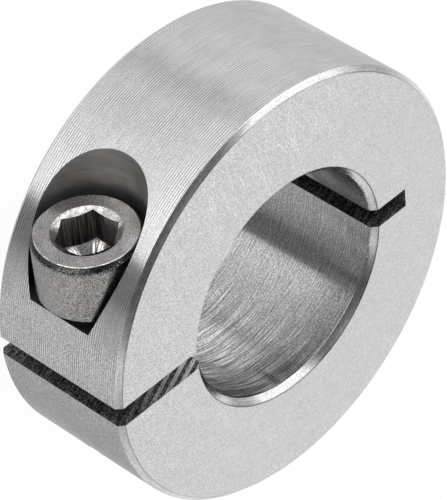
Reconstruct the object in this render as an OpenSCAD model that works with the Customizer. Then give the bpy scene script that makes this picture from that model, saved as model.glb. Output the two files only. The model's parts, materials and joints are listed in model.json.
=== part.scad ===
// One-piece clamping ring for a round shaft. A slit on one side and a blind relief
// cut on the other let the ring close on the shaft, and one socket head cap screw
// across the slit draws the two jaws together.
// The ring lies on its back face: Z runs along the bore, the slit is at -X, the
// relief cut at +X, and the head of the screw looks towards +Y.

/* [Ring] */
// Outside diameter
ring_d = 42; // [40:0.5:60]
// Bore, the diameter of the shaft
bore_d = 22; // [16:0.5:24]
// Width along the shaft
ring_w = 15; // [13:0.5:24]
// Chamfer round both outer edges
rim_chamfer = 0.5; // [0.1:0.1:1.5]
// Chamfer round both edges of the bore
bore_chamfer = 0.6; // [0.1:0.1:1.5]

/* [Saw cuts] */
// Width of the slit between the two jaws
slit_w = 2; // [1:0.1:3]
// Width of the relief cut opposite the slit
relief_w = 2; // [1:0.1:3]
// Wall left beyond the relief cut, which bends as the ring closes
hinge_wall = 5.9; // [3:0.1:8]

/* [Screw seat] */
// Distance of the screw's axis in from the outside of the ring
screw_inset = 5.35; // [5:0.05:6]
// Thickness of the upper jaw under the head of the screw
jaw_t = 5.7; // [4:0.1:7]
// Gap round the head in its counterbore
pocket_play = 0.5; // [0.2:0.1:1]
// Gap round the screw in the upper jaw
pass_play = 0.3; // [0.1:0.05:0.5]
// Running gap round the screw in the tapped hole
thread_play = 0.05; // [0.02:0.01:0.09]

/* [Screw] */
// Thread diameter
thread_d = 6; // [5:0.5:7]
// Length under the head
screw_l = 16; // [12:1:17]
// Chamfer on the end of the thread
point_chamfer = 0.8; // [0.3:0.1:1.2]
// Fillet under the head
neck_fillet = 0.25; // [0.1:0.05:0.3]
// Diameter of the head
head_d = 10; // [9.5:0.1:12]
// Height of the head
head_h = 6; // [5:0.1:7]
// Rounding of the head's top edge
head_round = 0.4; // [0.2:0.1:1]
// How far the head stands off its seat, with the screw backed off
head_gap = 0.9; // [0:0.1:2]

/* [Socket] */
// Width across the flats of the hexagon
socket_af = 5; // [4:0.5:6]
// Depth of the hexagon, at its corners
socket_l = 3.4; // [2:0.1:4]
// Angle of the conical floor that the punch leaves, in degrees
floor_angle = 120; // [110:5:160]
// Diameter of the countersink round its mouth
mouth_d = 6.3; // [6:0.1:8]
// Turn of the hexagon about the screw's axis, in degrees
socket_turn = 25.5; // [0:0.5:60]

/* [Hidden] */
$fn = 96;

ring_r = ring_d / 2;
bore_r = bore_d / 2;
thread_r = thread_d / 2;
head_r = head_d / 2;
tapped_r = thread_r + thread_play;
pass_r = thread_r + pass_play;
pocket_r = head_r + pocket_play;

// The screw keeps its place under the outside of the ring, half way along the width.
screw_x = screw_inset - ring_r;
screw_z = ring_w / 2;
seat_y = slit_w / 2 + jaw_t;
foot_y = seat_y + head_gap;

// A cut runs this far past the face that it opens
over = 1;
hex_sides = 6;
socket_corner_r = socket_af / 2 / cos(180 / hex_sides);
// Height of the socket's conical floor for each millimetre of its radius
floor_slope = tan(90 - floor_angle / 2);
// The same for the 120 degree countersink round the mouth
mouth_slope = tan(30);

// Section of the turned blank, beside the Z axis
module blank_section() {
    polygon([
        [bore_r, bore_chamfer],
        [bore_r + bore_chamfer, 0],
        [ring_r - rim_chamfer, 0],
        [ring_r, rim_chamfer],
        [ring_r, ring_w - rim_chamfer],
        [ring_r - rim_chamfer, ring_w],
        [bore_r + bore_chamfer, ring_w],
        [bore_r, ring_w - bore_chamfer]
    ]);
}

// A saw cut through the whole width, from the axis out to reach
module saw_cut(width, reach) {
    translate([0, -width / 2, -over])
        cube([reach, width, ring_w + 2 * over]);
}

// Puts a form that stands on the XY plane onto the screw's axis, pointing at +Y
module on_screw_axis(y = 0) {
    translate([screw_x, y, screw_z])
        rotate([-90, 0, 0])
            children();
}

// Counterbore for the head, clearance hole in the upper jaw, tapped hole in the lower
module screw_holes() {
    on_screw_axis(seat_y)
        cylinder(r = pocket_r, h = ring_r);
    on_screw_axis()
        cylinder(r = pass_r, h = seat_y + over);
    on_screw_axis(-ring_r)
        cylinder(r = tapped_r, h = ring_r);
}

module collar_ring() {
    color("gainsboro")
        difference() {
            rotate_extrude()
                blank_section();
            mirror([1, 0, 0])
                saw_cut(slit_w, ring_r + over);
            saw_cut(relief_w, ring_r - hinge_wall);
            screw_holes();
        }
}

// Thread up to the head, with a chamfered end and a fillet under the head
module shank_section() {
    polygon([
        [0, -screw_l],
        [thread_r - point_chamfer, -screw_l],
        [thread_r, point_chamfer - screw_l],
        [thread_r, 0],
        [0, 0]
    ]);
    translate([thread_r, -neck_fillet])
        difference() {
            square(neck_fillet);
            translate([neck_fillet, 0])
                circle(neck_fillet);
        }
}

// Cylindrical head with a rounded top edge
module head_section() {
    square([head_r, head_h - head_round]);
    square([head_r - head_round, head_h]);
    translate([head_r - head_round, head_h - head_round])
        circle(head_round);
}

// Hexagon socket, open at the XY plane and running down to its conical floor,
// with its countersunk mouth
module socket() {
    depth = socket_l + socket_corner_r * floor_slope;
    translate([0, 0, -depth])
        intersection() {
            cylinder(r = socket_corner_r, h = depth + over, $fn = hex_sides);
            cylinder(r1 = 0, r2 = (depth + over) / floor_slope, h = depth + over);
        }
    translate([0, 0, -mouth_d / 2 * mouth_slope])
        cylinder(r1 = 0, r2 = mouth_d / 2, h = mouth_d / 2 * mouth_slope);
}

module clamp_screw() {
    color("darkgray")
        on_screw_axis(foot_y)
            difference() {
                rotate_extrude() {
                    shank_section();
                    head_section();
                }
                translate([0, 0, head_h])
                    rotate([0, 0, -socket_turn])
                        socket();
            }
}

collar_ring();
clamp_screw();
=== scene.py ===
# Looks of a clamping ring: a turned stainless ring, sawn open, and its socket head cap screw.
# Lengths are named in millimetres. Meshes are built in millimetres and scaled once, to metres.
import json
import math

import bmesh
import bpy
from mathutils import Matrix, Vector


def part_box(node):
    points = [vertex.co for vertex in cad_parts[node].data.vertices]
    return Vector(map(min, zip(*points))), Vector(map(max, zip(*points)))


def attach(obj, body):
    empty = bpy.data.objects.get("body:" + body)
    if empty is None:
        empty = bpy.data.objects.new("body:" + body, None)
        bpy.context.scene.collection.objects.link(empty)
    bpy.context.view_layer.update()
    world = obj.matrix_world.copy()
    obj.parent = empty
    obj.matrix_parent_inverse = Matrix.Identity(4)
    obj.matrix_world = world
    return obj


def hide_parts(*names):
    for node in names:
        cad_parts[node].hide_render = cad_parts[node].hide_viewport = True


MM = 0.001
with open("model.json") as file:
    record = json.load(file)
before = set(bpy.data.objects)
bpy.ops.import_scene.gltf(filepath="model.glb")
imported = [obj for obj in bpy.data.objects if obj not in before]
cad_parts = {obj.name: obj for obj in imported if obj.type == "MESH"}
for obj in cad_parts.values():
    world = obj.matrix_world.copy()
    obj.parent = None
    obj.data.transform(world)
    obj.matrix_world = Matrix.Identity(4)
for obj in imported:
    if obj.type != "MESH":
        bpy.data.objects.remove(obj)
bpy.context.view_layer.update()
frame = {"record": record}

# Sizes that the frame holds
_, ring_high = (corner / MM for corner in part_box("collar_ring"))
screw_low, screw_high = (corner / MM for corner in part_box("clamp_screw"))
mounts = {mount["name"]: mount for mount in frame["record"]["mounts"]}
RING_R = ring_high.y
RING_W = ring_high.z
BORE_R = mounts["shaft_bore"]["dims"]["r_mm"]
SCREW_X = (screw_low.x + screw_high.x) / 2
SCREW_Z = RING_W / 2
HEAD_R = (screw_high.z - screw_low.z) / 2
HEAD_TOP = screw_high.y
POINT_Y = screw_low.y

# Sizes that the frame leaves out, as in the part
RIM_CHAMFER = 0.5
BORE_CHAMFER = 0.6
SLIT_W = 2.0
HINGE_WALL = 5.9
JAW_T = 5.7
POCKET_PLAY = 0.5
PASS_PLAY = 0.3
THREAD_PLAY = 0.05
THREAD_R = 3.0
HEAD_H = 6.0
NECK_FILLET = 0.25
POINT_CHAMFER = 0.8
SOCKET_AF = 5.0
SOCKET_L = 3.4
SOCKET_TURN = math.radians(25.5)
HEX_SIDES = 6
MOUTH_R = 3.15

# What follows from them. The socket's floor and its mouth are both cones of 120 degrees.
RELIEF_END = RING_R - HINGE_WALL
SEAT_Y = SLIT_W / 2 + JAW_T
POCKET_R = HEAD_R + POCKET_PLAY
PASS_R = THREAD_R + PASS_PLAY
TAPPED_R = THREAD_R + THREAD_PLAY
FOOT_Y = HEAD_TOP - HEAD_H
CONE_SLOPE = math.tan(math.radians(30))

# A metric coarse M6 thread. CREST_FLAT and FLANK are shares of its pitch, and RUNOUT is the length
# over which it fades out under the head.
PITCH = 1.0
THREAD_DEPTH = 0.6134 * PITCH
CREST_FLAT = 0.125
FLANK = THREAD_DEPTH / PITCH * math.tan(math.radians(30))
RUNOUT = 1.2 * PITCH

# Fine detail that the part leaves out: the radius that deburring leaves on the chamfers' corners,
# the bevel under the head's top edge, the small chamfer at its foot, and how far its side stays
# under the nominal size
EASED = 0.07
HEAD_EASED = 0.15
HEAD_BEVEL = 0.45
BEVEL_STEEP = math.radians(50)
FOOT_CHAMFER = 0.12
HEAD_UNDER = 0.1

# How finely round forms are cut up
RING_STEPS = 720
HOLE_STEPS = 240
ARC_STEPS = 8
CORNER_STEPS = 4

# How near two corners of a mesh lie when they are one: as a form is built, and once it is cut
SAME = 1e-5
WELD = 1e-4

# A cut runs this far past the face that it opens
OVER = 1.0

# Faces that meet at less than this angle are shaded as one surface
SMOOTH_BELOW = math.radians(30)


def mesh_object(name, bm):
    """An object from a bmesh. It is in millimetres, and stays so until it is finished."""
    bmesh.ops.remove_doubles(bm, verts=bm.verts, dist=SAME)
    bmesh.ops.recalc_face_normals(bm, faces=bm.faces)
    mesh = bpy.data.meshes.new(name)
    bm.to_mesh(mesh)
    bm.free()
    made = bpy.data.objects.new(name, mesh)
    bpy.context.scene.collection.objects.link(made)
    return made


def lathe(outline, steps, closed=False):
    """A bmesh turned about Z from (radius, z) points. Points on the axis close its ends."""
    bm = bmesh.new()
    rings = []
    for radius, z in outline:
        if radius == 0:
            rings.append([bm.verts.new((0, 0, z))] * steps)
            continue
        turns = [math.tau * i / steps for i in range(steps)]
        rings.append([bm.verts.new((radius * math.cos(a), radius * math.sin(a), z)) for a in turns])
    pairs = list(zip(rings, rings[1:]))
    if closed:
        pairs.append((rings[-1], rings[0]))
    for lower, upper in pairs:
        for i in range(steps):
            j = (i + 1) % steps
            corners = dict.fromkeys((lower[i], lower[j], upper[j], upper[i]))
            bm.faces.new(list(corners))
    return bm


def arc(centre, radius, start, end):
    """Points of an arc in the (radius, z) plane, from one angle in degrees to another."""
    angles = [math.radians(start + (end - start) * i / ARC_STEPS) for i in range(ARC_STEPS + 1)]
    return [(centre[0] + radius * math.cos(a), centre[1] + radius * math.sin(a)) for a in angles]


def rounded(back, corner, ahead, radius):
    """Points that round one corner of an outline, between the points before and after it."""
    corner = Vector(corner)
    back = (Vector(back) - corner).normalized()
    ahead = (Vector(ahead) - corner).normalized()
    half = back.angle(ahead) / 2
    reach = radius / math.tan(half)
    centre = corner + (back + ahead).normalized() * (radius / math.sin(half))
    start = corner + back * reach - centre
    end = corner + ahead * reach - centre
    shares = [step / CORNER_STEPS for step in range(CORNER_STEPS + 1)]
    spokes = [start.lerp(end, share).normalized() for share in shares]
    return [tuple(centre + spoke * radius) for spoke in spokes]


def eased(outline, radius):
    """A closed outline with its corners rounded, as a deburring brush leaves them."""
    points = []
    for i, corner in enumerate(outline):
        points += rounded(outline[i - 1], corner, outline[(i + 1) % len(outline)], radius)
    return points


def thread_height(phase):
    """Height of the thread's profile above its root, from 0 to 1, at a share of the pitch."""
    phase %= 1.0
    if phase <= CREST_FLAT:
        return 1.0
    if phase < CREST_FLAT + FLANK:
        return 1.0 - (phase - CREST_FLAT) / FLANK
    return max(0.0, (phase - 1.0) / FLANK + 1.0)


def thread_radius(height):
    """Radius of the thread at a height of its profile, from the root at 0 to the crest at 1."""
    return THREAD_R - THREAD_DEPTH * (1 - height)


def threaded_rod(bottom, top, radius_at, steps):
    """A bmesh of a right-hand thread along Z, closed at both ends.

    radius_at(z, height) gives its radius at a height of the thread's profile, from 0 to 1.
    """
    marks = (0.0, CREST_FLAT, CREST_FLAT + FLANK, 1.0 - FLANK)
    first = math.floor(bottom / PITCH) - 2
    last = math.ceil(top / PITCH) + 2
    starts = [turn + mark for turn in range(first, last) for mark in marks]
    bm = bmesh.new()
    columns = []
    for i in range(steps):
        share = i / steps
        angle = math.tau * share
        column = []
        for start in starts:
            z = min(max((start + share) * PITCH, bottom), top)
            radius = radius_at(z, thread_height(z / PITCH - share))
            column.append(bm.verts.new((radius * math.cos(angle), radius * math.sin(angle), z)))
        columns.append(column)
    columns.append(columns[0][len(marks):])
    for left, right in zip(columns, columns[1:]):
        for m in range(min(len(left), len(right)) - 1):
            bm.faces.new((left[m], right[m], right[m + 1], left[m + 1]))
    bmesh.ops.remove_doubles(bm, verts=bm.verts, dist=SAME)
    bmesh.ops.dissolve_degenerate(bm, edges=bm.edges, dist=SAME)
    ends = [edge for edge in bm.edges if edge.is_boundary]
    bmesh.ops.holes_fill(bm, edges=ends, sides=0)
    return bm


def on_screw_axis(y):
    """Stands a form built along +Z onto the screw's axis, pointing at +Y."""
    return Matrix.Translation((SCREW_X, y, SCREW_Z)) @ Matrix.Rotation(math.radians(-90), 4, "X")


def block(low, high):
    """A bmesh box between two corners."""
    bm = bmesh.new()
    size = Vector(high) - Vector(low)
    middle = (Vector(high) + Vector(low)) / 2
    place = Matrix.Translation(middle) @ Matrix.Diagonal((*size, 1))
    bmesh.ops.create_cube(bm, size=1, matrix=place)
    return bm


def cut(target, tool, operation="DIFFERENCE"):
    """Cuts a tool's bmesh out of the target, or all but the tool, and throws the tool away."""
    tool = mesh_object("tool", tool)
    boolean = target.modifiers.new("cut", "BOOLEAN")
    boolean.operation = operation
    boolean.solver = "EXACT"
    boolean.object = tool
    bpy.context.view_layer.update()
    ready = target.evaluated_get(bpy.context.evaluated_depsgraph_get())
    mesh = bpy.data.meshes.new_from_object(ready)
    target.modifiers.clear()
    target.data = mesh
    bpy.data.objects.remove(tool)


def ring_blank():
    """The blank as it leaves the lathe: bored, faced and chamfered."""
    outline = [
        (BORE_R, BORE_CHAMFER),
        (BORE_R + BORE_CHAMFER, 0),
        (RING_R - RIM_CHAMFER, 0),
        (RING_R, RIM_CHAMFER),
        (RING_R, RING_W - RIM_CHAMFER),
        (RING_R - RIM_CHAMFER, RING_W),
        (BORE_R + BORE_CHAMFER, RING_W),
        (BORE_R, RING_W - BORE_CHAMFER),
    ]
    return mesh_object("ring", lathe(eased(outline, EASED), RING_STEPS, closed=True))


def rod(radius, bottom, top, steps=HOLE_STEPS):
    """A plain round bar along Z."""
    return lathe([(0, bottom), (radius, bottom), (radius, top), (0, top)], steps)


def make_ring():
    """The ring with its saw cuts, its counterbore and its two screw holes.

    The tapped hole is plain round the screw, which hides it, and threaded past the screw's end.
    """
    ring = ring_blank()
    half = SLIT_W / 2
    cut(ring, block((-RING_R - OVER, -half, -OVER), (-OVER, half, RING_W + OVER)))
    cut(ring, block((OVER, -half, -OVER), (RELIEF_END, half, RING_W + OVER)))
    for tool, y in (
        (rod(POCKET_R, 0, RING_R), SEAT_Y),
        (rod(PASS_R, 0, SEAT_Y + OVER), 0),
        (rod(TAPPED_R, POINT_Y - PITCH / 2, 0), 0),
    ):
        bmesh.ops.transform(tool, matrix=on_screw_axis(y), verts=tool.verts)
        cut(ring, tool)
    tap = threaded_rod(
        -RING_R, POINT_Y - PITCH / 4,
        lambda z, height: thread_radius(height),
        HOLE_STEPS // 2,
    )
    bmesh.ops.transform(tap, matrix=on_screw_axis(0), verts=tap.verts)
    cut(ring, tap)
    return ring


def make_screw():
    """The cap screw: rolled thread, headed blank, hexagon socket with its mouth and floor."""
    length = FOOT_Y - POINT_Y
    point_r = THREAD_R - POINT_CHAMFER

    def radius_at(z, height):
        under_head = max(0.0, -NECK_FILLET - z)
        radius = max(thread_radius(height), THREAD_R - under_head / RUNOUT)
        return min(radius, point_r + (z + length))

    shank = threaded_rod(-length, -NECK_FILLET, radius_at, HOLE_STEPS)
    # The flat upper end of the shank, its only face of more than eight corners there, is opened
    # to join the head
    ends = [face for face in shank.faces if len(face.verts) > 8]
    upper = [face for face in ends if face.calc_center_median().z > -PITCH]
    bmesh.ops.delete(shank, geom=upper, context="FACES_ONLY")
    side = HEAD_R - HEAD_UNDER
    foot = (side, FOOT_CHAMFER)
    low = (side, HEAD_H - HEAD_BEVEL)
    high = (side - HEAD_BEVEL / math.tan(BEVEL_STEEP), HEAD_H)
    middle = (0, HEAD_H)
    head = lathe(
        arc((THREAD_R + NECK_FILLET, -NECK_FILLET), NECK_FILLET, 180, 90)
        + [(side - FOOT_CHAMFER, 0), foot]
        + rounded(foot, low, high, HEAD_EASED)
        + rounded(low, high, middle, HEAD_EASED)
        + [middle],
        HOLE_STEPS,
    )
    part = bpy.data.meshes.new("head")
    head.to_mesh(part)
    head.free()
    shank.from_mesh(part)
    screw = mesh_object("screw", shank)

    corner_r = SOCKET_AF / 2 / math.cos(math.pi / HEX_SIDES)
    top = HEAD_H + OVER
    point = HEAD_H - SOCKET_L - corner_r * CONE_SLOPE
    hexagon = rod(corner_r, point, top, steps=HEX_SIDES)
    bmesh.ops.rotate(hexagon, matrix=Matrix.Rotation(-SOCKET_TURN, 3, "Z"), verts=hexagon.verts)
    socket = mesh_object("socket", hexagon)
    cone = [(0, point), ((top - point) / CONE_SLOPE, top), (0, top)]
    cut(socket, lathe(cone, HOLE_STEPS), "INTERSECT")
    punch = bmesh.new()
    punch.from_mesh(socket.data)
    bpy.data.objects.remove(socket)
    cut(screw, punch)
    mouth = [(0, HEAD_H - MOUTH_R * CONE_SLOPE), (MOUTH_R, HEAD_H), (MOUTH_R, top), (0, top)]
    cut(screw, lathe(mouth, HOLE_STEPS))
    screw.data.transform(on_screw_axis(FOOT_Y))
    return screw


def srgb(colour):
    """A hex colour as linear red, green, blue and alpha."""
    parts = [int(colour[i:i + 2], 16) / 255 for i in (1, 3, 5)]
    linear = [p / 12.92 if p <= 0.04045 else ((p + 0.055) / 1.055) ** 2.4 for p in parts]
    return (*linear, 1.0)


def add(tree, kind, inputs=None, **settings):
    """Adds a node. Each input is a value, or the socket that it is linked to."""
    made = tree.nodes.new(kind)
    for name, value in settings.items():
        setattr(made, name, value)
    for name, value in (inputs or {}).items():
        if isinstance(value, bpy.types.NodeSocket):
            tree.links.new(value, made.inputs[name])
        else:
            made.inputs[name].default_value = value
    return made


# Colours of bare stainless steel, by how it was made
TURNED = "#cccccc"
FACED = "#d1d1d1"
BORED = "#bfbfbf"
CHAMFERED = "#dbdbdb"
SAWN = "#9a9898"
COUNTERBORED = "#bab8b6"
FORMED = "#aeacaa"
STAMPED = "#a4a2a1"
PUNCHED = "#9a9392"
STRUCK = "#cfcdcb"
ROLLED = "#c4c3c2"

# Marks of the tools: their feeds, how the saw's lines slant and where they start, how the painted
# highlight rays on the socket's floor are turned, and which way the painted sheen on the head's top
# lies. The real feed of the lathe, the grit of the ground faces and the pits of the head are finer
# than shows at this size, so here and below they are drawn coarser.
TURNING_FEED = 0.25
BORING_FEED = 0.27
SAW_FEED = 0.75
SAW_SLANT = math.radians(23)
SAW_START = math.radians(-40)
PAINTED_RAY_TURN = math.radians(-28)
STAMP_LEAN = math.radians(30)

# The way from the ring's middle to the side that is handled most
POCKET_SIDE = (-math.sqrt(0.5), math.sqrt(0.5), 0)


def in_mm(tree):
    """Where on the part the surface lies, in millimetres."""
    place = add(tree, "ShaderNodeTexCoord")
    metres = {0: place.outputs["Object"], "Scale": 1 / MM}
    return add(tree, "ShaderNodeVectorMath", metres, operation="SCALE").outputs[0]


def span(tree, value, start, end, low=0.0, high=1.0, **settings):
    """Goes from low to high as a value goes from start to end, and stays there beyond."""
    limits = {"From Min": start, "From Max": end, "To Min": low, "To Max": high}
    return add(tree, "ShaderNodeMapRange", {"Value": value, **limits}, **settings).outputs[0]


def grain(tree, place, sizes, low, high, detail=2.0, band=(0.35, 0.65), turn=(0, 0, 0)):
    """Uneven marks of a size in millimetres along X, Y and Z, as a factor between low and high."""
    leaning = {"Vector": place, "Rotation": turn}
    turned = add(tree, "ShaderNodeVectorRotate", leaning, rotation_type="EULER_XYZ").outputs[0]
    stretch = [1 / size for size in sizes]
    scaled = add(tree, "ShaderNodeVectorMath", {0: turned, 1: stretch}, operation="MULTIPLY")
    pattern = {"Vector": scaled.outputs[0], "Scale": 1.0, "Detail": detail}
    noise = add(tree, "ShaderNodeTexNoise", pattern).outputs[0]
    return span(tree, noise, *band, low, high)


def feed_lines(tree, place, pitch, start=0.0, turn=(0, 0, 0)):
    """The even lines that a tool leaves as it feeds along Z, from -1 to 1."""
    leaning = {"Vector": place, "Rotation": turn}
    turned = add(tree, "ShaderNodeVectorRotate", leaning, rotation_type="EULER_XYZ").outputs[0]
    along = add(tree, "ShaderNodeSeparateXYZ", {0: turned}).outputs[2]
    turns = {0: along, 1: math.tau / pitch, 2: start}
    phase = add(tree, "ShaderNodeMath", turns, operation="MULTIPLY_ADD").outputs[0]
    return add(tree, "ShaderNodeMath", {0: phase}, operation="SINE").outputs[0]


def faded(tree, keep, factor):
    """A factor that shows as far as keep, from 0 to 1, lets it."""
    return add(tree, "ShaderNodeMix", {0: keep, 2: 1.0, 3: factor}).outputs[0]


def towards_screw(tree, place, start, end, low=0.0, high=1.0):
    """Goes from low to high between two distances from the ring's middle, towards the pocket."""
    across = add(tree, "ShaderNodeVectorMath", {0: place, 1: POCKET_SIDE}, operation="DOT_PRODUCT")
    return span(tree, across.outputs["Value"], start, end, low, high)


def product(tree, factors):
    """All factors multiplied."""
    whole = factors[0]
    for factor in factors[1:]:
        whole = add(tree, "ShaderNodeMath", {0: whole, 1: factor}, operation="MULTIPLY").outputs[0]
    return whole


# The turn, as a share of a circle, that draws reflections out along the axis of a turned surface
ALONG_AXIS = 0.25


def metal(name, colour, roughness, marks, relief=None, relief_mm=0.0, along=None, anisotropy=0.0):
    """A bare metal finish.

    roughness is its lowest and highest. marks(tree, place) gives the factor that its marks put on the
    colour, and relief(tree, place) the height of its bump from 0 to 1. along is the axis, X, Y or Z,
    that a tool turned about. The marks run round it, so that reflections are drawn out along the axis.
    """
    material = bpy.data.materials.new(name)
    material.use_nodes = True
    tree = material.node_tree
    tree.nodes.clear()
    place = in_mm(tree)
    shades = {0: srgb(colour)[:3], "Scale": marks(tree, place)}
    base = add(tree, "ShaderNodeVectorMath", shades, operation="SCALE")
    uneven = grain(tree, place, (0.7, 0.7, 0.7), *roughness)
    shader = add(tree, "ShaderNodeBsdfPrincipled", {
        "Base Color": base.outputs[0],
        "Metallic": 1.0,
        "Roughness": uneven,
    })
    if relief:
        heights = {"Height": relief(tree, place), "Distance": relief_mm * MM}
        bump = add(tree, "ShaderNodeBump", heights)
        tree.links.new(bump.outputs[0], shader.inputs["Normal"])
    if along:
        tangent = add(tree, "ShaderNodeTangent", direction_type="RADIAL", axis=along)
        tree.links.new(tangent.outputs[0], shader.inputs["Tangent"])
        shader.inputs["Anisotropic"].default_value = anisotropy
        shader.inputs["Anisotropic Rotation"].default_value = ALONG_AXIS
    add(tree, "ShaderNodeOutputMaterial", {"Surface": shader.outputs[0]})
    return material


def turned_steel():
    """Outside, turned: even feed lines run round it and draw reflections out along the axis."""
    def marks(tree, place):
        patches = grain(tree, place, (4, 4, 3), 0.2, 1.0, detail=1.0, band=(0.44, 0.56))
        lines = span(tree, feed_lines(tree, place, TURNING_FEED), -1.0, 1.0, 0.63, 1.37)
        cloud = grain(tree, place, (3, 3, 3), 0.96, 1.04, detail=1.0)
        speckle = grain(tree, place, (0.1, 0.1, 0.08), 0.78, 1.22, detail=1.0)
        scores = grain(tree, place, (2.2, 2.2, 0.09), 0.92, 1.08)
        shown = product(tree, [patches, towards_screw(tree, place, 10.0, 18.0, 0.5, 1.0)])
        x, y = add(tree, "ShaderNodeSeparateXYZ", {0: place}).outputs[:2]
        by_slit = product(tree, [span(tree, x, -10.0, -18.0), span(tree, y, 9.0, 5.0)])
        handled = grain(tree, place, (0.12, 0.12, 0.12), 0.7, 1.3, detail=0.0)
        return product(tree, [
            faded(tree, shown, lines),
            faded(tree, towards_screw(tree, place, 8.0, 19.0), speckle),
            faded(tree, by_slit, handled),
            scores,
            cloud,
        ])

    def relief(tree, place):
        return span(tree, feed_lines(tree, place, TURNING_FEED), -1.0, 1.0)

    return metal(
        "turned_stainless_steel", TURNED, (0.21, 0.25), marks, relief, 0.001,
        along="Z", anisotropy=0.9,
    )


def faced_steel():
    """Flat faces, ground: an even satin with a fine grain, and hairlines, most by the pocket."""
    def marks(tree, place):
        shown = towards_screw(tree, place, -6.0, 14.0, 0.6, 1.0)
        cloud = grain(tree, place, (1.6, 1.6, 1.6), 0.985, 1.015)
        fine = grain(tree, place, (0.08, 0.08, 0.08), 0.77, 1.23, detail=0.0)
        hairlines = [fine]
        for turn in (-0.11, 0.25, 1.3):
            way = {"detail": 1.0, "turn": (0, 0, turn)}
            hairlines.append(grain(tree, place, (4, 0.085, 4), 0.965, 1.035, **way))
        scratches = []
        for turn in (1.34, 1.05, 1.75):
            way = {"detail": 0.0, "band": (0.71, 0.77), "turn": (0, 0, turn)}
            scratches.append(grain(tree, place, (9, 0.09, 9), 1.0, 1.24, **way))
        y = add(tree, "ShaderNodeSeparateXYZ", {0: place}).outputs[1]
        deep = product(tree, [towards_screw(tree, place, 2.0, 10.0), span(tree, y, 8.0, 17.0)])
        return product(tree, [
            cloud,
            faded(tree, shown, product(tree, hairlines)),
            faded(tree, deep, product(tree, scratches)),
        ])

    def relief(tree, place):
        return grain(tree, place, (0.1, 0.1, 0.1), 0.0, 1.0)

    return metal("ground_stainless_steel", FACED, (0.4, 0.45), marks, relief, 0.001)


def bored_steel():
    """Bore: darker than the outside, with the boring tool's uneven streaks, deepest by the slit."""
    def marks(tree, place):
        wander = grain(tree, place, (3, 3, 0.8), 0.0, 6.0, detail=0.0)
        lines = span(tree, feed_lines(tree, place, BORING_FEED, wander), -1.0, 1.0, 0.68, 1.32)
        patches = grain(tree, place, (1.2, 1.2, 0.3), 0.2, 1.0)
        streaks = grain(tree, place, (3.0, 3.0, 0.12), 0.9, 1.1, detail=1.0)
        speckle = grain(tree, place, (0.1, 0.1, 0.1), 0.65, 1.35, detail=0.0)
        scores = grain(tree, place, (6, 6, 0.25), 0.52, 1.52, detail=1.0, turn=(0, 0.09, 0))
        cuts = grain(tree, place, (5, 5, 0.12), 0.4, 1.68, detail=1.0, turn=(0, -0.06, 0))
        x = add(tree, "ShaderNodeSeparateXYZ", {0: place}).outputs[0]
        by_slit = span(tree, x, 6.0, -4.0)
        return product(tree, [
            faded(tree, patches, lines),
            streaks,
            speckle,
            faded(tree, by_slit, product(tree, [scores, cuts])),
            span(tree, x, 0.0, 5.0, 1.0, 0.8),
        ])

    return metal("bored_stainless_steel", BORED, (0.18, 0.21), marks, along="Z", anisotropy=0.9)


def chamfered_steel(name, roughness, burr):
    """Chamfers: the form tool leaves them smoother than the faces, so they mirror more sharply.

    burr is the factor on the worn line between a chamfer and the face, and on the ragged edge that
    the saw has left where the relief cut comes out of the bore.
    """
    def marks(tree, place):
        scores = grain(tree, place, (2.5, 2.5, 0.08), 0.88, 1.12)
        speckle = grain(tree, place, (0.08, 0.08, 0.08), 0.75, 1.25, detail=0.0)
        x, _, z = add(tree, "ShaderNodeSeparateXYZ", {0: place}).outputs
        border = product(tree, [span(tree, z, 0.04, 0.1), span(tree, z, RING_W - 0.04, RING_W - 0.1)])
        by_relief = product(tree, [
            span(tree, x, BORE_R - 2.0, BORE_R - 0.7),
            span(tree, x, BORE_R + 1.5, BORE_R + 1.0),
        ])
        ragged = grain(tree, place, (0.12, 0.12, 0.12), -0.12, 0.12)
        reach = add(tree, "ShaderNodeMath", {0: z, 1: ragged}, operation="ADD").outputs[0]
        foot = RING_W - BORE_CHAMFER
        inner = span(tree, reach, foot + 0.04, foot + 0.12, burr, 1.0)
        return product(tree, [
            scores,
            speckle,
            span(tree, border, 0.0, 1.0, burr, 1.0),
            faded(tree, by_relief, inner),
        ])

    return metal(name, CHAMFERED, roughness, marks)


def sawn_steel():
    """Walls of the saw cuts: rough and dark, with the saw's slanting marks painted bright near the bore
    as painted light, and painted shade towards the back face.
    """
    def marks(tree, place):
        slant = (0, -SAW_SLANT, 0)
        lines = feed_lines(tree, place, SAW_FEED, SAW_START, slant)
        teeth = span(tree, lines, -0.1, 0.4, 0.55, 8.0)
        scores = grain(tree, place, (4, 4, 0.12), 0.4, 1.6, turn=slant)
        rough = grain(tree, place, (0.18, 0.18, 0.12), 0.1, 1.9)
        x, _, z = add(tree, "ShaderNodeSeparateXYZ", {0: place}).outputs
        # Painted light: the saw's marks shine out only near the bore end of the slit
        painted_light_near_bore = product(tree, [span(tree, x, -18.0, -15.5), span(tree, x, 0.0, -BORE_R)])
        # Painted shade: darker towards the back face, deep in the cut
        deep = span(tree, z, 0.0, RING_W / 2, 0.3, 1.0)
        return product(tree, [faded(tree, painted_light_near_bore, teeth), scores, rough, deep])

    return metal("sawn_stainless_steel", SAWN, (0.4, 0.5), marks)


def counterbored_steel():
    """Screw seat: fine rings of the counterbore's cutting edges, with painted shade down by the head."""
    def marks(tree, place):
        rings = grain(tree, place, (2.5, 0.1, 2.5), 0.86, 1.12)
        cloud = grain(tree, place, (1.6, 1.2, 1.6), 0.88, 1.1)
        y = add(tree, "ShaderNodeSeparateXYZ", {0: place}).outputs[1]
        # Painted shade: the wall darkens down to the head; high lowers its tone a little further up
        deep = span(tree, y, SEAT_Y + 2.5, HEAD_TOP - 1.0, 0.2, 1.05)
        high = span(tree, y, HEAD_TOP, HEAD_TOP + 3.0, 0.9, 0.85)
        return product(tree, [rings, cloud, deep, high])

    return metal("counterbored_stainless_steel", COUNTERBORED, (0.47, 0.53), marks)


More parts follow.
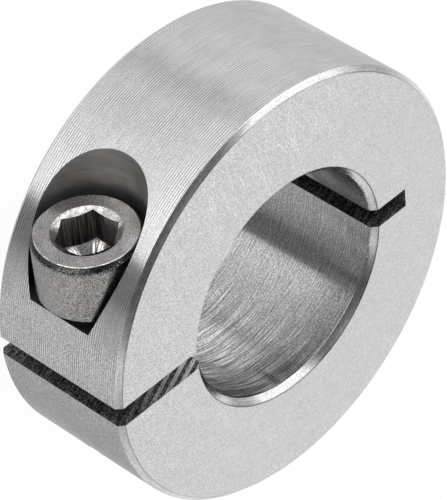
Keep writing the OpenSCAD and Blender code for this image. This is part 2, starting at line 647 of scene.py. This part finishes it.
def across_head(tree, place, start, end, low, high):
    """Goes from low to high between two distances from the screw's axis, across its head."""
    way = (math.cos(STAMP_LEAN), 0, math.sin(STAMP_LEAN))
    axis = (SCREW_X, 0, SCREW_Z)
    off_axis = add(tree, "ShaderNodeVectorMath", {0: place, 1: axis}, operation="SUBTRACT").outputs[0]
    across = add(tree, "ShaderNodeVectorMath", {0: off_axis, 1: way}, operation="DOT_PRODUCT")
    return span(tree, across.outputs["Value"], start, end, low, high)


def speckled(tree, place, shown):
    """Factor of the fine speckle that forming and pickling leave, as far as shown lets it."""
    pits = grain(tree, place, (0.09, 0.09, 0.09), 0.2, 1.8, detail=1.0)
    cloud = grain(tree, place, (0.6, 0.6, 0.6), 0.88, 1.12)
    return product(tree, [faded(tree, shown, pits), cloud])


def pitted(tree, place):
    """Height of the pits that pickling leaves."""
    return grain(tree, place, (0.12, 0.12, 0.12), 0.0, 1.0)


def formed_steel():
    """Side of the head, upset in the die: dull and speckled, with painted shade under its rim."""
    def marks(tree, place):
        y = add(tree, "ShaderNodeSeparateXYZ", {0: place}).outputs[1]
        ragged = grain(tree, place, (0.14, 0.14, 0.14), -0.3, 0.3)
        reach = add(tree, "ShaderNodeMath", {0: y, 1: ragged}, operation="ADD").outputs[0]
        # Painted shade: a ragged dark band just under the rim
        painted_shade_under_rim = span(tree, reach, HEAD_TOP - 0.35, HEAD_TOP - 0.8, 0.15, 1.0)
        shown = across_head(tree, place, -4.5, -1.5, 0.65, 1.05)
        return product(tree, [speckled(tree, place, shown), painted_shade_under_rim])

    return metal("cold_formed_stainless_steel", FORMED, (0.2, 0.3), marks, pitted, 0.004)


def stamped_steel():
    """Top of the head, stamped flat: a little darker than its side, with a painted sheen on one side."""
    def marks(tree, place):
        cloud = grain(tree, place, (1.8, 1.8, 1.8), 0.94, 1.06, detail=1.0)
        return product(tree, [
            speckled(tree, place, 0.7),
            cloud,
            # Painted sheen: the top is painted up to 1.6 times brighter towards one side
            across_head(tree, place, 2.0, 3.4, 1.0, 1.6),
        ])

    return metal("stamped_stainless_steel", STAMPED, (0.26, 0.34), marks, pitted, 0.003)


def countersunk_steel():
    """Mouth of the socket, ironed by the punch: it shines between the dull top and the dark walls."""
    def marks(tree, place):
        cloud = grain(tree, place, (0.45, 0.45, 0.45), 0.6, 1.2)
        speckle = grain(tree, place, (0.1, 0.1, 0.1), 0.6, 1.3)
        return product(tree, [cloud, speckle])

    return metal("countersunk_stainless_steel", STRUCK, (0.1, 0.22), marks)


def punched_steel():
    """Key socket, punched: its walls keep the drag lines of the punch, along the screw."""
    def marks(tree, place):
        return grain(tree, place, (0.11, 4, 0.11), 0.2, 1.8)

    return metal("punched_stainless_steel", PUNCHED, (0.3, 0.4), marks)


def struck_steel():
    """Floor of the socket, struck by the punch: dull, with painted highlight rays towards the hexagon's
    corners.
    """
    def marks(tree, place):
        x, y, z = add(tree, "ShaderNodeSeparateXYZ", {0: place}).outputs
        right = add(tree, "ShaderNodeMath", {0: x, 1: SCREW_X}, operation="SUBTRACT").outputs[0]
        up = add(tree, "ShaderNodeMath", {0: z, 1: SCREW_Z}, operation="SUBTRACT").outputs[0]
        turn = add(tree, "ShaderNodeMath", {0: up, 1: right}, operation="ARCTAN2").outputs[0]
        sixfold = {0: turn, 1: HEX_SIDES, 2: -HEX_SIDES * PAINTED_RAY_TURN}
        phase = add(tree, "ShaderNodeMath", sixfold, operation="MULTIPLY_ADD").outputs[0]
        wave = add(tree, "ShaderNodeMath", {0: phase}, operation="COSINE").outputs[0]
        corner = span(tree, wave, 0.0, 0.7)
        floor = HEAD_TOP - SOCKET_L
        inner = span(tree, y, floor - 0.1, floor - 0.4)
        polar = add(tree, "ShaderNodeCombineXYZ", {0: turn, 1: y})
        # Painted highlight: the rays brighten the floor in fans towards the hexagon's corners
        painted_highlight_rays = grain(tree, polar.outputs[0], (0.05, 1.5, 1), 0.3, 12.0, detail=1.0, band=(0.4, 0.6))
        speckle = grain(tree, place, (0.11, 0.11, 0.11), 0.06, 0.26)
        shown = product(tree, [corner, inner])
        return product(tree, [faded(tree, shown, painted_highlight_rays), speckle])

    return metal("struck_stainless_steel", STRUCK, (0.16, 0.22), marks)


def rolled_steel():
    """Thread, rolled: smooth and brighter than the head."""
    def marks(tree, place):
        return grain(tree, place, (0.6, 0.1, 0.6), 0.92, 1.08)

    return metal("rolled_stainless_steel", ROLLED, (0.22, 0.28), marks)


# What tells a face's region: how near its middle lies to a surface, how straight the normals of
# flat and of round surfaces point, the least lean of a chamfer's and the most of the socket's walls,
# and how far up those of the head's rounded edge point. That edge gets the mouth's smoother finish,
# and its brighter colour there is a painted highlight.
NEAR = 0.03
FLAT = 0.999
ROUND = 0.99
CHAMFER_LEAN = 0.01
WALL_LEAN = 0.1
EDGE_UP = 0.66


def region_of_ring(centre, normal):
    """Which of the ring's finishes a face has, from its middle and its normal in millimetres."""
    radius = math.hypot(centre.x, centre.y)
    outward = (normal.x * centre.x + normal.y * centre.y) / radius
    depth = min(centre.z, RING_W - centre.z)
    if abs(normal.z) > FLAT and depth < NEAR:
        return "faced"
    if outward > ROUND and radius > RING_R - NEAR:
        return "turned"
    if outward < -ROUND and radius < BORE_R + NEAR:
        return "bored"
    if depth < max(RIM_CHAMFER, BORE_CHAMFER) + EASED and abs(normal.z) > CHAMFER_LEAN:
        return "chamfered" if outward > 0 else "bore_chamfered"
    if abs(normal.y) > FLAT and abs(abs(centre.y) - SLIT_W / 2) < NEAR:
        return "sawn"
    if abs(normal.x) > FLAT and abs(centre.x - RELIEF_END) < NEAR:
        return "sawn"
    return "counterbored"


def region_of_screw(centre, normal):
    """Which of the screw's finishes a face has."""
    if centre.y < FOOT_Y:
        return "rolled"
    radius = math.hypot(centre.x - SCREW_X, centre.z - SCREW_Z)
    depth = HEAD_TOP - centre.y
    if radius < MOUTH_R and abs(normal.y) < WALL_LEAN:
        return "punched"
    if radius < MOUTH_R and normal.y < ROUND:
        return "struck" if depth > SOCKET_L / 2 else "countersunk"
    if normal.y > ROUND:
        return "stamped"
    # Painted highlight: the head's rounded edge takes the mouth's smoother, brighter finish
    return "countersunk" if normal.y > EDGE_UP else "formed"


def dress(piece, finishes, region_of):
    """Gives each face of a piece, still in millimetres, the finish of its region."""
    slots = {}
    for name, material in finishes.items():
        slots[name] = len(piece.data.materials)
        piece.data.materials.append(material)
    for face in piece.data.polygons:
        face.material_index = slots[region_of(face.center, face.normal)]


# The glow that lifts the sweep to white where nothing shades it, and its share in what the eye sees
WHITE = 1.03
GLOW_SHARE = 0.9

# Half the sweep's side, and how far under the ring it lies, so that the two don't touch
FLOOR_HALF = 3000
FLOOR_UNDER = 0.02


def white_sweep():
    """A matt white studio sweep. To the eye it is lifted to white, and keeps a soft shadow."""
    material = bpy.data.materials.new("white_sweep")
    material.use_nodes = True
    tree = material.node_tree
    tree.nodes.clear()
    path = add(tree, "ShaderNodeLightPath")
    matt = add(tree, "ShaderNodeBsdfDiffuse", {"Color": srgb("#ffffff")})
    glow = add(tree, "ShaderNodeEmission", {"Color": srgb("#ffffff"), "Strength": WHITE})
    seen = {0: path.outputs["Is Camera Ray"], 1: GLOW_SHARE}
    lift = add(tree, "ShaderNodeMath", seen, operation="MULTIPLY").outputs[0]
    mix = add(tree, "ShaderNodeMixShader", {0: lift, 1: matt.outputs[0], 2: glow.outputs[0]})
    add(tree, "ShaderNodeOutputMaterial", {"Surface": mix.outputs[0]})
    return material


def make_floor():
    """The sweep that the ring lies on. Metal mirrors the studio round it instead."""
    bm = bmesh.new()
    bmesh.ops.create_grid(bm, x_segments=1, y_segments=1, size=FLOOR_HALF * MM)
    mesh = bpy.data.meshes.new("floor")
    bm.to_mesh(mesh)
    bm.free()
    floor = bpy.data.objects.new("floor", mesh)
    floor.location.z = -FLOOR_UNDER * MM
    bpy.context.scene.collection.objects.link(floor)
    mesh.materials.append(white_sweep())
    floor.visible_glossy = False


def finish_mesh(piece):
    """Welds corners that the cuts left side by side, scales to metres and shades smooth."""
    bm = bmesh.new()
    bm.from_mesh(piece.data)
    bmesh.ops.remove_doubles(bm, verts=bm.verts, dist=WELD)
    bm.to_mesh(piece.data)
    bm.free()
    piece.data.transform(Matrix.Scale(MM, 4))
    piece.data.shade_smooth()
    piece.data.set_sharp_from_angle(angle=SMOOTH_BELOW)


# The camera stands where the photograph was taken from
PHOTO_W = 447
PHOTO_H = 500
FOCAL_PX = 3892
SENSOR = 36.0
CAMERA_AIM = Vector((-0.2, 0.1, 7.2))
CAMERA_DISTANCE = 342.7
CAMERA_AZIMUTH = math.radians(126.29)
CAMERA_ELEVATION = math.radians(33.08)
CAMERA_ROLL = math.radians(120.67)


def make_camera():
    """A long lens turned about its own axis, so that the ring leans as it does in the photograph."""
    data = bpy.data.cameras.new("camera")
    data.sensor_width = SENSOR
    data.lens = FOCAL_PX * SENSOR / max(PHOTO_W, PHOTO_H)
    camera = bpy.data.objects.new("camera", data)
    back = Vector((
        math.cos(CAMERA_ELEVATION) * math.cos(CAMERA_AZIMUTH),
        math.cos(CAMERA_ELEVATION) * math.sin(CAMERA_AZIMUTH),
        math.sin(CAMERA_ELEVATION),
    ))
    level = (-back).to_track_quat("-Z", "Y").to_matrix().to_4x4()
    place = Matrix.Translation((CAMERA_AIM + back * CAMERA_DISTANCE) * MM)
    camera.matrix_world = place @ level @ Matrix.Rotation(CAMERA_ROLL, 4, "Z")
    bpy.context.scene.collection.objects.link(camera)
    bpy.context.scene.camera = camera


# How bright the studio is round the ring, from the bench up, as pairs of azimuth in degrees and level
BENCH = (
    (-180, 0.4), (-156, 0.7), (-136, 0.7), (-116, 0.55), (-86, 0.45), (-36, 0.78), (0, 0.74),
    (52, 0.9), (61, 0.58), (68, 0.66), (78, 0.88), (94, 0.88), (114, 1.06), (126, 1.13), (134, 1.24),
    (145, 1.24), (151, 1.05), (153, 0.25), (168, 0.24), (174, 0.21), (180, 0.42),
)
WALLS = (
    (-180, 0.75), (-160, 0.8), (-145, 0.8), (-132, 0.45), (-110, 0.75), (-60, 1.04), (-30, 0.95),
    (-17, 0.86), (-8, 0.46), (2, 0.6), (9, 0.75), (14, 1.38), (60, 1.42), (100, 1.66), (115, 2.0),
    (147, 2.35), (151, 1.0), (154, 0.18), (170, 0.17), (175, 0.5), (180, 0.75),
)
CORNICE = (
    (-180, 0.12), (-168, 0.15), (-160, 0.34), (-148, 0.7), (-135, 0.52), (-110, 0.8), (-54, 1.0),
    (0, 1.0), (22, 1.4), (58, 1.4), (65, 0.55), (74, 0.28), (86, 0.12), (110, 0.32), (131, 0.22),
    (150, 0.13), (170, 0.08), (180, 0.12),
)
CEILING = ((-180, 0.95), (180, 0.95))

# The brightest of these levels, which the colour ramps hold as white
BRIGHTEST = 2.35

# The elevations in degrees between which each of these gives way to the next
ABOVE_BENCH = (-25, -8)
ABOVE_WALLS = (36, 44)
ABOVE_CORNICE = (62, 70)

# The dark place round the camera: azimuth, elevation, half its width and half its height in degrees,
# how soft its edge is to either side, and its level
BEHIND_CAMERA = (126, 42, 28, 16)
PATCH_EDGE = math.radians(8)
DARK = 0.1


def studio_ramp(tree, share, levels):
    """A ring of the studio's light. share runs from 0 to 1 with the azimuth."""
    ramp = add(tree, "ShaderNodeValToRGB", {0: share})
    stops = ramp.color_ramp.elements
    while len(stops) < len(levels):
        stops.new(0.5)
    for stop, (azimuth, level) in zip(stops, levels):
        stop.position = (azimuth + 180) / 360
        stop.color = (level / BRIGHTEST,) * 3 + (1,)
    return ramp.outputs[0]


def patch(tree, azimuth, z, place):
    """How far a direction lies in a soft-edged patch of the studio, from 0 to 1.

    place is its azimuth and elevation, half its width and half its height, in degrees.
    """
    middle, height, half_width, half_height = (math.radians(angle) for angle in place)
    rise = add(tree, "ShaderNodeMath", {0: z}, operation="ARCSINE").outputs[0]
    sides = []
    for angle, centre, half in ((azimuth, middle, half_width), (rise, height, half_height)):
        off = add(tree, "ShaderNodeMath", {0: angle, 1: centre}, operation="SUBTRACT").outputs[0]
        away = add(tree, "ShaderNodeMath", {0: off}, operation="ABSOLUTE").outputs[0]
        limits = (half - PATCH_EDGE, half + PATCH_EDGE, 1.0, 0.0)
        sides.append(span(tree, away, *limits, interpolation_type="SMOOTHSTEP"))
    return product(tree, sides)


def make_world():
    """A white studio: an unevenly lit bench, bright walls with a big soft light, a dim cornice."""
    world = bpy.data.worlds.new("studio")
    world.use_nodes = True
    tree = world.node_tree
    tree.nodes.clear()
    way = add(tree, "ShaderNodeTexCoord").outputs["Generated"]
    x, y, z = add(tree, "ShaderNodeSeparateXYZ", {0: way}).outputs
    azimuth = add(tree, "ShaderNodeMath", {0: y, 1: x}, operation="ARCTAN2").outputs[0]
    share = span(tree, azimuth, -math.pi, math.pi)
    light = studio_ramp(tree, share, BENCH)
    for levels, limits in ((WALLS, ABOVE_BENCH), (CORNICE, ABOVE_WALLS), (CEILING, ABOVE_CORNICE)):
        start, end = (math.sin(math.radians(angle)) for angle in limits)
        rise = span(tree, z, start, end, interpolation_type="SMOOTHSTEP")
        above = studio_ramp(tree, share, levels)
        mix = add(tree, "ShaderNodeMix", {0: rise, 6: light, 7: above}, data_type="RGBA")
        light = mix.outputs[2]
    dark = patch(tree, azimuth, z, BEHIND_CAMERA)
    shade = (DARK / BRIGHTEST,) * 3 + (1,)
    light = add(tree, "ShaderNodeMix", {0: dark, 6: light, 7: shade}, data_type="RGBA").outputs[2]
    studio = add(tree, "ShaderNodeBackground", {"Color": light, "Strength": BRIGHTEST})
    white = add(tree, "ShaderNodeBackground", {"Color": srgb("#ffffff"), "Strength": 1.0})
    seen = add(tree, "ShaderNodeLightPath").outputs["Is Camera Ray"]
    mix = add(tree, "ShaderNodeMixShader", {0: seen, 1: studio.outputs[0], 2: white.outputs[0]})
    add(tree, "ShaderNodeOutputWorld", {"Surface": mix.outputs[0]})
    bpy.context.scene.world = world


ring = make_ring()
screw = make_screw()
dress(ring, {
    "turned": turned_steel(),
    "faced": faced_steel(),
    "bored": bored_steel(),
    "chamfered": chamfered_steel("chamfered_stainless_steel", (0.14, 0.2), 0.6),
    "bore_chamfered": chamfered_steel("bore_chamfered_stainless_steel", (0.13, 0.19), 0.3),
    "sawn": sawn_steel(),
    "counterbored": counterbored_steel(),
}, region_of_ring)
dress(screw, {
    "formed": formed_steel(),
    "stamped": stamped_steel(),
    "countersunk": countersunk_steel(),
    "punched": punched_steel(),
    "struck": struck_steel(),
    "rolled": rolled_steel(),
}, region_of_screw)
for piece in (ring, screw):
    finish_mesh(piece)
ring.name = "turned_ring"
screw.name = "cap_screw"
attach(ring, "ring")
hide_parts("collar_ring")
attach(screw, "screw")
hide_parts("clamp_screw")

make_floor()
make_world()
make_camera()
bpy.context.scene.view_settings.view_transform = "Standard"
